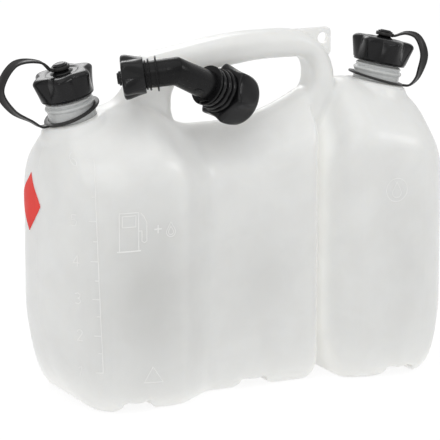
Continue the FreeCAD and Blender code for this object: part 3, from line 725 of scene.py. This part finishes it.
PUMP_CASE = [(-145, 143), (-128, 143), (-128, 176), (-145, 176)]
PUMP_WINDOW = [(-142.5, 164), (-130.5, 164), (-130.5, 173.5), (-142.5, 173.5)]
PUMP_FOOT = [(-147, 143), (-126, 143)]
PUMP_HOSE = [(-128, 160), (-125, 160), (-125, 151), (-122.5, 149.5), (-120.5, 151), (-120.5, 167),
             (-123, 172), (-126, 175.5)]
PLUS_BAR, PLUS_POST = [(-113.5, 160), (-106.5, 160)], [(-110, 156.5), (-110, 163.5)]
TRIANGLE = [(-123.8, 27.0), (-106.0, 26.0), (-115.3, 40.1)]

marks += [closed_stroke(PUMP_CASE), closed_stroke(PUMP_WINDOW), stroke(PUMP_FOOT, width=1.4),
          stroke(PUMP_HOSE), stroke(PLUS_BAR, width=1.5), stroke(PLUS_POST, width=1.5),
          closed_stroke(drop_outline(-98, 156.5, 4.2)), closed_stroke(drop_outline(-98, 156.5, 2.4)),
          closed_stroke(TRIANGLE), closed_stroke(drop_outline(125, 168, 4.5)),
          closed_stroke(circle(125, 170.5, 10.5))]
top_seam = [place(x, 0, 340) for x in range(-98, 80, 2)]
left_seam = [place(-230, 0, z) for z in range(22, 226, 2)]
right_seam = [place(230, 0, z) for z in range(22, 226, 2)]
marks += [ribbon(top_seam, Vector((0, 0, -1)), width=0.7, height=0.12),
          ribbon(left_seam, Vector((1, 0, 0)), width=0.7, height=0.12),
          ribbon(right_seam, Vector((-1, 0, 0)), width=0.7, height=0.12)]
raised = join([m for m in marks if m], "raised_marks")
raised.data.materials.append(painted_highlight_marking)
sharp_edges(raised, 50)
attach(raised, "can")


LABEL_Y, LABEL_Z, LABEL_HALF, LABEL_ROUND = 14.5, 174.5, 25.0, 2.4


def label_piece():
    """Thin diamond film laid on the left end."""
    steps = 26
    blunt_end = 0.6
    rows = []
    for i in range(-steps, steps + 1):
        v = LABEL_HALF * i / steps
        bow = math.sqrt(max(0.0, LABEL_ROUND ** 2 - v * v))
        reach = max(blunt_end, min(LABEL_HALF - abs(v), LABEL_HALF - 1.4 * LABEL_ROUND + bow))
        rows.append([on_body(place(-230, LABEL_Y + reach * k / steps, LABEL_Z + v), Vector((1, 0, 0)))
                     for k in range(-steps, steps + 1)])
    count = 2 * steps + 1
    vertices, faces = [], []
    for lift in (0.42, 0.05):
        vertices += [p + n * (lift * MM) for row in rows for p, n in row]
    for layer, flip in ((0, False), (count * count, True)):
        for i in range(count - 1):
            for k in range(count - 1):
                a = layer + i * count + k
                quad = (a, a + 1, a + count + 1, a + count)
                faces.append(quad[::-1] if flip else quad)
    rim = list(range(count)) + [i * count + count - 1 for i in range(1, count)]
    rim += [(count - 1) * count + k for k in range(count - 2, -1, -1)]
    rim += [i * count for i in range(count - 2, 0, -1)]
    for k, a in enumerate(rim):
        b = rim[(k + 1) % len(rim)]
        faces.append((a, b, b + count * count, a + count * count))
    piece = outward(new_object("side_film", vertices, faces, label_film))
    sharp_edges(piece, 40)
    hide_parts("side_label")
    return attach(piece, "can")


label_piece()
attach(body, "can")


# Necks

def neck_piece(name, neck):
    """Neck with its two beads, land and thread, open through its whole height."""
    root_r, land_r, mouth = 20.5, 18.2, 31.0
    thread_start, thread_end, pitch, thread_depth, fade_run = 15.0, 29.0, 4.2, 0.95, 2.0
    seat = neck.seat
    line = profile([(BORE_R, seat - 8), (21.5, seat - 8), (21.5, seat - 0.3), (root_r, seat + 0.4),
                    (root_r, 4.6), (22.4, 7.6), (19.3, 9.6), (21.2, 11.2), (land_r, 13.2), (land_r, mouth),
                    (BORE_R, mouth)], [0, 0.5, 0.4, 0.4, 0.8, 1.5, 0.6, 1.1, 0.6, 0.7, 0])
    dense = [line[0]]
    for r, s in line[1:]:
        pr, ps = dense[-1]
        steps = max(1, int(abs(s - ps) / 0.5)) if ps >= 13.0 and r > 16 else 1
        for k in range(1, steps + 1):
            dense.append((pr + (r - pr) * k / steps, ps + (s - ps) * k / steps))

    def thread(a, s, r):
        if r < 17.0 or not thread_start < s < thread_end:
            return 0.0
        fade = smooth((s - thread_start) / fade_run) * smooth((thread_end - s) / fade_run)
        turns = s / pitch - a / (2 * math.pi)
        return thread_depth * fade * max(0.0, math.cos(2 * math.pi * turns)) ** 2

    piece = spun(name, dense, painted_shade_neck_moulding, 96, extra=thread)
    stand_on(piece, *neck_frame(neck))
    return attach(piece, "can")


neck_piece("fuel_neck", FUEL_NECK)
neck_piece("oil_neck", OIL_NECK)


# Caps and their straps

RING_R, RING_BORE_R, RING_LIFT = 25.5, 21.1, 1.1
STUD_R, EYE_R, EYE_HEIGHT = 5.0, 8.2, 40.2


def finish(piece, body_name, slot, *replaced):
    if replaced:
        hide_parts(*replaced)
    if body_name:
        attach(piece, body_name)
    return piece


def cap_piece(neck):
    """Screw cap from its inside over skirt, lobes and crown to the stud that holds the tether's eye."""
    inside = [(0, 33.0, 0), (16.5, 33.0, 0), (17.8, 33.0, 0), (18.3, 32.5, 0), (18.3, 15.0, 0),
              (19.3, 14.0, 0)]
    skirt = [(22.3, 14.0, 0), (22.8, 14.15, 0), (23.0, 14.6, 0.1), (23.0, 15.2, 0.3), (22.7, 15.5, 0.3),
             (22.7, 15.8, 0.5), (23.1, 16.1, 0.7)]
    flare = [(23.1 - 0.9 * k / 8, 16.1 + 15.4 * k / 8, 0.7 + 4.9 * k / 8) for k in range(1, 9)]
    crown = [(22.2, 32.6, 5.7), (21.9, 33.7, 5.6), (21.4, 34.7, 5.3), (20.7, 35.5, 4.9), (19.8, 36.05, 4.4),
             (18.7, 36.4, 3.8), (17.4, 36.5, 3.1), (15.6, 36.5, 1.9), (14.4, 36.3, 0.9), (13.8, 35.9, 0.3),
             (13.4, 35.7, 0)]
    stud = [(10.2, 35.7, 0), (9.7, 35.9, 0), (9.2, 36.4, 0), (7.6, 37.0, 0), (6.0, 37.9, 0), (5.2, 38.5, 0),
            (STUD_R, 38.8, 0), (STUD_R, 41.7, 0), (5.3, 41.9, 0), (6.3, 41.95, 0), (6.6, 42.2, 0),
            (6.6, 42.7, 0), (6.3, 43.0, 0), (5.2, 43.05, 0), (5.0, 43.2, 0), (4.8, 43.65, 0),
            (4.4, 43.85, 0), (0, 43.9, 0)]
    piece = spun(neck.prefix + "_screw_cap", inside + skirt + flare + crown + stud, gloss_black, 192, 6, 1.35,
                 0.26)
    stand_on(piece, *neck_frame(neck), math.radians(neck.strap_turn))
    return finish(sharp_edges(piece, 50), neck.prefix + "_closure", "cap", neck.prefix + "_cap")


def ring_piece(neck):
    """Flat ring that lies round the neck, a little aslant."""
    line = profile([(RING_BORE_R, 0), (RING_BORE_R, -1), (RING_R, -1), (RING_R, 1), (RING_BORE_R, 1)],
                   [0, 0.4, 0.7, 0.7, 0.4], 3)
    piece = spun(neck.prefix + "_tether_ring", line, strap_black, 96)
    tilt = math.radians(neck.ring_tilt)
    lift = neck.seat + RING_LIFT + RING_R * math.sin(tilt)
    piece.data.transform(Matrix.Translation((0, 0, lift * MM)) @ Matrix.Rotation(tilt, 4, "Y"))
    stand_on(piece, *neck_frame(neck), math.radians(neck.strap_turn))
    return finish(piece, neck.prefix + "_strap", "strap", neck.prefix + "_strap_ring")


def eye_piece(neck):
    """Eye of the tether, round the stud of the cap."""
    low, high, hole_r = EYE_HEIGHT - 1.6, EYE_HEIGHT + 1.6, STUD_R + 0.15
    line = profile([(hole_r, EYE_HEIGHT), (hole_r, low), (EYE_R, low), (EYE_R, high), (hole_r, high)],
                   [0, 0.3, 0.7, 0.7, 0.3], 3)
    piece = spun(neck.prefix + "_tether_eye", line, strap_black, 64)
    stand_on(piece, *neck_frame(neck), math.radians(neck.strap_turn))
    return finish(piece, neck.prefix + "_cap_seat", "strap", neck.prefix + "_strap_eye")


def spline(points, steps=14):
    """Smooth line through 2-D points, with its direction at each place."""
    p = [Vector(q) for q in points]
    p = [2 * p[0] - p[1]] + p + [2 * p[-1] - p[-2]]
    line = []
    for i in range(1, len(p) - 2):
        a, b, c, d = p[i - 1:i + 3]
        t1, t2, t3 = [math.sqrt((v - u).length) for u, v in ((a, b), (b, c), (c, d))]
        m1 = ((b - a) / t1 - (c - a) / (t1 + t2) + (c - b) / t2) * t2
        m2 = ((c - b) / t2 - (d - b) / (t2 + t3) + (d - c) / t3) * t2
        for k in range(steps + (i == len(p) - 3)):
            t = k / steps
            h = (2 * t ** 3 - 3 * t ** 2 + 1, t ** 3 - 2 * t ** 2 + t, 3 * t ** 2 - 2 * t ** 3,
                 t ** 3 - t ** 2)
            line.append(b * h[0] + m1 * h[1] + c * h[2] + m2 * h[3])
    return line


BAND_OUTLINE = ((-3.8, 0.0), (-3.7, 0.8), (-3.3, 1.0), (-2.8, 1.0), (-2.4, 0.75), (2.4, 0.75), (2.8, 1.0),
                (3.3, 1.0), (3.7, 0.8), (3.8, 0.0), (3.7, -0.8), (3.3, -1.0), (2.8, -1.0), (2.4, -0.75),
                (-2.4, -0.75), (-2.8, -1.0), (-3.3, -1.0), (-3.7, -0.8))


def band_piece(neck):
    """Flat strap from the eye down to the ring, with thicker rims, twisted on its way."""
    foot_r = RING_R * math.cos(math.radians(neck.ring_tilt))
    foot_s = neck.seat + RING_LIFT
    line = spline([(7.8, EYE_HEIGHT), (8.8, EYE_HEIGHT), *neck.strap_loop, (foot_r + 5.0, foot_s + 1.2),
                   (foot_r - 0.9, foot_s)])
    total = [0.0]
    for a, b in zip(line, line[1:]):
        total.append(total[-1] + (b - a).length)
    rings = []
    for i, point in enumerate(line):
        run = (line[min(i + 1, len(line) - 1)] - line[max(i - 1, 0)]).normalized()
        bend = math.radians(neck.strap_twist) * math.sin(math.pi * total[i] / total[-1]) ** 2
        normal = Vector((run.y, 0, -run.x))
        side = Vector((0, math.cos(bend), 0)) + normal * math.sin(bend)
        across = side.cross(Vector((run.x, 0, run.y))).normalized()
        middle = Vector((point.x, 0, point.y))
        rings.append([(middle + side * w + across * t) * MM for w, t in BAND_OUTLINE])
    piece = sharp_edges(ring_loft(neck.prefix + "_tether_band", rings, strap_black), 40)
    origin, axis = neck_frame(neck)
    turn = math.radians(neck.strap_turn)
    stand_on(piece, origin, axis, turn)
    finish(piece, None, "strap", neck.prefix + "_strap_band")
    lean = Vector((0, 0, 1)).rotation_difference(axis).to_matrix().to_4x4()
    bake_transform(piece)
    return piece


for neck in (FUEL_NECK, OIL_NECK):
    cap_piece(neck)
    ring_piece(neck)
    eye_piece(neck)
    band_piece(neck)


# The spout

KINK, TIP, NUT = (Vector(v) for v in ((-81.5, -49.5, 289.4), (-128.3, -28.5, 282.9), (-13.3, -28.5, 256.8)))
TO_TIP, TO_NUT = (TIP - KINK).normalized(), (NUT - KINK).normalized()
KINK_AT = place(*KINK)
TUBE_R, TIP_R, BASE_R, BORE_INSET = 11.9, 11.2, 13.4, 2.0
KINK_REACH, MITRE_REACH, TIP_END, NUT_END = 7.0, 12, 43.0, 68.0
FINS = ((15.4, 15.2), (21.8, 13.8), (24.6, 12.8))


def spout_rings(inset):
    """Circles along the tapered tube from tip to flange, met in a mitre at the kink."""
    hinge = TO_TIP.cross(TO_NUT).normalized()
    plane = (TO_TIP - TO_NUT).normalized()
    nearest = 1.0
    tip_lengths = (TIP_END, 36, 30, 24, 18, 12, 9, 7, nearest)
    nut_lengths = (nearest, 7, 10, 16, 24, 32, 40, 50, 60, NUT_END)
    rings = []
    for axis, run, lengths, end, end_r in ((TO_TIP, -TO_TIP, tip_lengths, TIP_END, TIP_R),
                                           (TO_NUT, TO_NUT, nut_lengths, NUT_END, BASE_R)):
        side = run.cross(hinge)
        for s in lengths:
            r = TUBE_R + max(0.0, s - KINK_REACH) / (end - KINK_REACH) * (end_r - TUBE_R) - inset
            ring = []
            for k in range(64):
                a = 2 * math.pi * k / 64
                arm = (hinge * math.cos(a) + side * math.sin(a)) * r
                mitre = -arm.dot(plane) / axis.dot(plane)
                along = max(s, mitre + 0.7) if s < MITRE_REACH else s
                if s == nearest:
                    along = mitre + 0.7
                ring.append(KINK_AT + (arm + axis * along) * MM)
            rings.append(ring)
    return rings


def spout_disc(radius, thickness, axis, s, hole):
    """Disc round the tube at s from the kink."""
    line = profile([(hole, 0), (radius, 0), (radius, thickness), (hole, thickness)],
                   [0, 0.35 * thickness, 0.35 * thickness, 0], 3)
    return stand_on(spun("disc", line, None, 96), KINK_AT + axis * (s * MM), axis)


def turned(x, y, a):
    return Vector((x * math.cos(a) - y * math.sin(a), x * math.sin(a) + y * math.cos(a)))


def collar_piece():
    """Collar round the tube with a slot for a tether, on the side that the photo shows."""
    low, high, inner_r, outer_r = 38.8, 40.8, 12.3, 17.7
    line = profile([(inner_r, low), (outer_r, low), (outer_r, high), (inner_r, high)], [0, 0.6, 0.6, 0], 3)
    collar = spun("collar", line, None, 96)
    photo_side = Vector((-0.327, -0.319, -0.890))
    slot_way = Vector((0, 0, 1)).rotation_difference(TO_NUT).inverted() @ photo_side
    turn = math.atan2(slot_way.y, slot_way.x)
    slot_line = [turned(x, y, turn) for x, y in ((14.2, -6.5), (16.4, -6.5), (16.4, 6.5), (14.2, 6.5))]
    slot = ring_loft("slot", [[Vector((p.x, p.y, z)) * MM for p in slot_line]
                              for z in (low - 1.8, high + 1.2)])
    return stand_on(cut(collar, slot), KINK_AT, TO_NUT)


def oval_piece():
    """Low oval pad on the tube's front."""
    oval = spun("oval", [(0, 0.0), (1.0, 0.0), (1.0, 0.5), (0.8, 0.75), (0, 0.8)], None, 48)
    oval.data.transform(Matrix.Diagonal((5.5, 2.4, 1.0, 1.0)))
    front = Vector((0, -0.72, -0.7))
    outside = (front - TO_NUT * front.dot(TO_NUT)).normalized()
    face = Matrix((TO_NUT, TO_NUT.cross(outside), outside)).transposed().to_4x4()
    oval.data.transform(Matrix.Translation(KINK_AT + (TO_NUT * 26.0 + outside * 12.1) * MM) @ face)
    return oval


tube = ring_loft("tube", spout_rings(0.0) + spout_rings(BORE_INSET)[::-1], closed=True)
pieces = [tube, collar_piece(), oval_piece(), spout_disc(17.0, 2.4, TO_NUT, 65.6, 12.0)]
pieces += [spout_disc(r, 1.5, TO_TIP, s, 11.0) for s, r in FINS]
spout = join(pieces, "pouring_spout")
spout.data.materials.append(tube_black)
finish(sharp_edges(spout, 28), "spout", "spout", "spout_tube")

# The union nut from its stepped hub over six ears to the mouth, and back through the threaded bore
hub = [(13.5, 43.0, 0), (16.0, 43.0, 0)]
for low, r in ((43.0, 17.0), (48.0, 18.2), (53.0, 19.2)):
    hub += [(r - 0.9, low + 0.05, 0), (r - 0.25, low + 0.3, 0), (r, low + 0.9, 0), (r, low + 3.5, 0),
            (r - 0.25, low + 4.0, 0), (r - 1.0, low + 4.3, 0), (r - 1.0, low + 4.8, 0)]
ears = [(19.0, 58.0, 0), (20.6, 58.05, 0.9), (21.2, 58.5, 2.4), (21.4, 59.4, 4.0), (21.6, 60.8, 4.9),
        (21.8, 62.5, 4.9), (22.0, 66.0, 4.6), (22.3, 69.0, 4.0), (22.6, 73.0, 2.9), (22.8, 77.0, 1.6),
        (22.8, 79.5, 0.8), (22.6, 81.5, 0.3), (22.0, 82.8, 0.1), (21.0, 83.4, 0), (20.0, 83.5, 0)]
bore = [(18.4, 83.5, 0), (17.9, 83.0, 0)]
thread_depth, thread_step = 0.7, 0.45
bore += [(17.9 - (thread_depth if k % 4 in (1, 2) else 0.0), 82.6 - thread_step * k, 0) for k in range(22)]
bore += [(17.4, 71.5, 0), (17.3, 65.5, 0), (13.5, 65.5, 0)]
nut = spun("union_nut", hub + ears + bore, gloss_black, 192, 6, 2.4, 0.10)
stand_on(nut, KINK_AT, TO_NUT)
finish(sharp_edges(nut, 45), "union_nut", "cap", "spout_union_nut")

# The tip cap from its inside over skirt and five lobes to the nub
tip_line = [(0, 45.0, 0), (11.6, 45.0, 0), (12.1, 44.5, 0), (12.1, 27.4, 0), (12.7, 26.6, 0), (15.1, 26.6, 0),
            (15.5, 26.8, 0), (15.6, 27.3, 0.1)]
tip_line += [(15.6 - 0.1 * k / 7, 27.3 + 13.5 * k / 7, 0.1 + 4.2 * k / 7) for k in range(1, 8)]
tip_line += [(15.5, 42.5, 4.5), (15.5, 43.8, 4.5), (15.3, 44.8, 4.2), (14.8, 45.5, 3.7), (14.0, 45.9, 2.9),
             (12.8, 46.1, 2.0), (10.5, 46.1, 0.5), (7.6, 46.1, 0), (6.9, 46.2, 0), (6.4, 46.6, 0),
             (6.3, 48.1, 0), (6.1, 48.5, 0), (5.2, 48.6, 0), (5.0, 48.8, 0), (4.9, 49.7, 0), (4.5, 50.05, 0),
             (0, 50.1, 0)]
tip = spun("tip_cap", tip_line, gloss_black, 160, 5, 1.2, 0.3)
stand_on(tip, KINK_AT, TO_TIP)
finish(sharp_edges(tip, 45), "tip_closure", "cap", "spout_tip_cap")

for names, material in ((("eyelet_flange", "joining_web"), moulding),
                        (("spout_gasket", "spout_tip_gasket", "fuel_cap_gasket", "oil_cap_gasket"),
                         seal_rubber)):
    for name in names:
        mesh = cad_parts[name].data
        mesh.materials.clear()
        mesh.materials.append(material)


# Floor, light and camera

def emission_mix(name, colour, lit_share, glow):
    """Floor: part lit, so it keeps the shadow, and part glowing for the eye, mirrors and glass."""
    material, tree, shader = nodes_of(name)
    shader.inputs["Base Color"].default_value = (*colour, 1)
    shader.inputs["Roughness"].default_value = 0.9
    shader.inputs["Specular IOR Level"].default_value = 0.1
    light = tree.nodes.new("ShaderNodeLightPath")
    glowing = tree.nodes.new("ShaderNodeEmission")
    glowing.inputs["Strength"].default_value = glow
    rays = light.outputs["Is Camera Ray"]
    for other in ("Is Glossy Ray", "Is Transmission Ray"):
        add = tree.nodes.new("ShaderNodeMath")
        add.operation = "MAXIMUM"
        tree.links.new(rays, add.inputs[0])
        tree.links.new(light.outputs[other], add.inputs[1])
        rays = add.outputs[0]
    share = tree.nodes.new("ShaderNodeMath")
    share.operation = "MULTIPLY"
    share.inputs[1].default_value = 1.0 - lit_share
    tree.links.new(rays, share.inputs[0])
    mix = tree.nodes.new("ShaderNodeMixShader")
    tree.links.new(share.outputs[0], mix.inputs[0])
    tree.links.new(shader.outputs[0], mix.inputs[1])
    tree.links.new(glowing.outputs[0], mix.inputs[2])
    tree.links.new(mix.outputs[0], tree.nodes["Material Output"].inputs["Surface"])
    return material


FLOOR_R = 9.0
floor_rings = [[(FLOOR_R * math.cos(a * math.pi / 32), FLOOR_R * math.sin(a * math.pi / 32), z)
                for a in range(64)] for z in (-0.01, 0.0)]
floor = ring_loft("floor", floor_rings, emission_mix("pale_floor", (0.86, 0.86, 0.86), 0.24, 1.1))

world = bpy.data.worlds.new("studio")
bpy.context.scene.world = world
world.use_nodes = True
world_tree = world.node_tree
background = world_tree.nodes["Background"]
background.inputs["Color"].default_value = (1.0, 1.0, 1.0, 1)
background.inputs["Strength"].default_value = 0.72
shown = world_tree.nodes.new("ShaderNodeBackground")
shown.inputs["Color"].default_value = (1.0, 1.0, 1.0, 1)
shown.inputs["Strength"].default_value = 1.0
eye = world_tree.nodes.new("ShaderNodeLightPath")
blend = world_tree.nodes.new("ShaderNodeMixShader")
world_tree.links.new(eye.outputs["Is Camera Ray"], blend.inputs[0])
world_tree.links.new(background.outputs[0], blend.inputs[1])
world_tree.links.new(shown.outputs[0], blend.inputs[2])
world_tree.links.new(blend.outputs[0], world_tree.nodes["World Output"].inputs["Surface"])


def area_lamp(name, location, target, size, power):
    data = bpy.data.lights.new(name, "AREA")
    data.shape = "DISK"
    data.size = size
    data.energy = power
    lamp = bpy.data.objects.new(name, data)
    lamp.location = location
    lamp.rotation_euler = (Vector(target) - Vector(location)).to_track_quat("-Z", "Y").to_euler()
    bpy.context.scene.collection.objects.link(lamp)


CAN_MIDDLE = (0, 0, 0.15)
area_lamp("key", (-0.5, -0.5, 2.2), CAN_MIDDLE, 2.4, 12)
area_lamp("fill_left", (-1.9, -1.6, 1.0), CAN_MIDDLE, 0.9, 5)
area_lamp("fill_right", (1.8, -1.5, 1.3), CAN_MIDDLE, 0.7, 7)
area_lamp("back", (0.4, 2.0, 1.4), CAN_MIDDLE, 1.2, 9)
area_lamp("spark", (-1.1, -1.9, 1.7), (0, 0, 0.2), 0.22, 2.4)

# The photo's camera: the size of its pixel at the can gives the lens
PIXEL, PHOTO_WIDTH = 0.88 * MM, 440.0
AZIMUTH, ELEVATION, DISTANCE = math.radians(26.0), math.radians(12.5), 2.7
LOOK = Vector((math.sin(AZIMUTH) * math.cos(ELEVATION), math.cos(AZIMUTH) * math.cos(ELEVATION),
               -math.sin(ELEVATION)))
TARGET = Vector((0.00079, 0.0, 0.144))
camera_data = bpy.data.cameras.new("camera")
camera_data.sensor_width = 36.0
camera_data.lens = camera_data.sensor_width * (DISTANCE / PIXEL) / PHOTO_WIDTH
camera_data.clip_end = 50.0
camera = bpy.data.objects.new("camera", camera_data)
camera.location = TARGET - LOOK * DISTANCE
camera.rotation_euler = LOOK.to_track_quat("-Z", "Y").to_euler()
bpy.context.scene.collection.objects.link(camera)
bpy.context.scene.camera = camera
bpy.context.scene.view_settings.view_transform = "Standard"
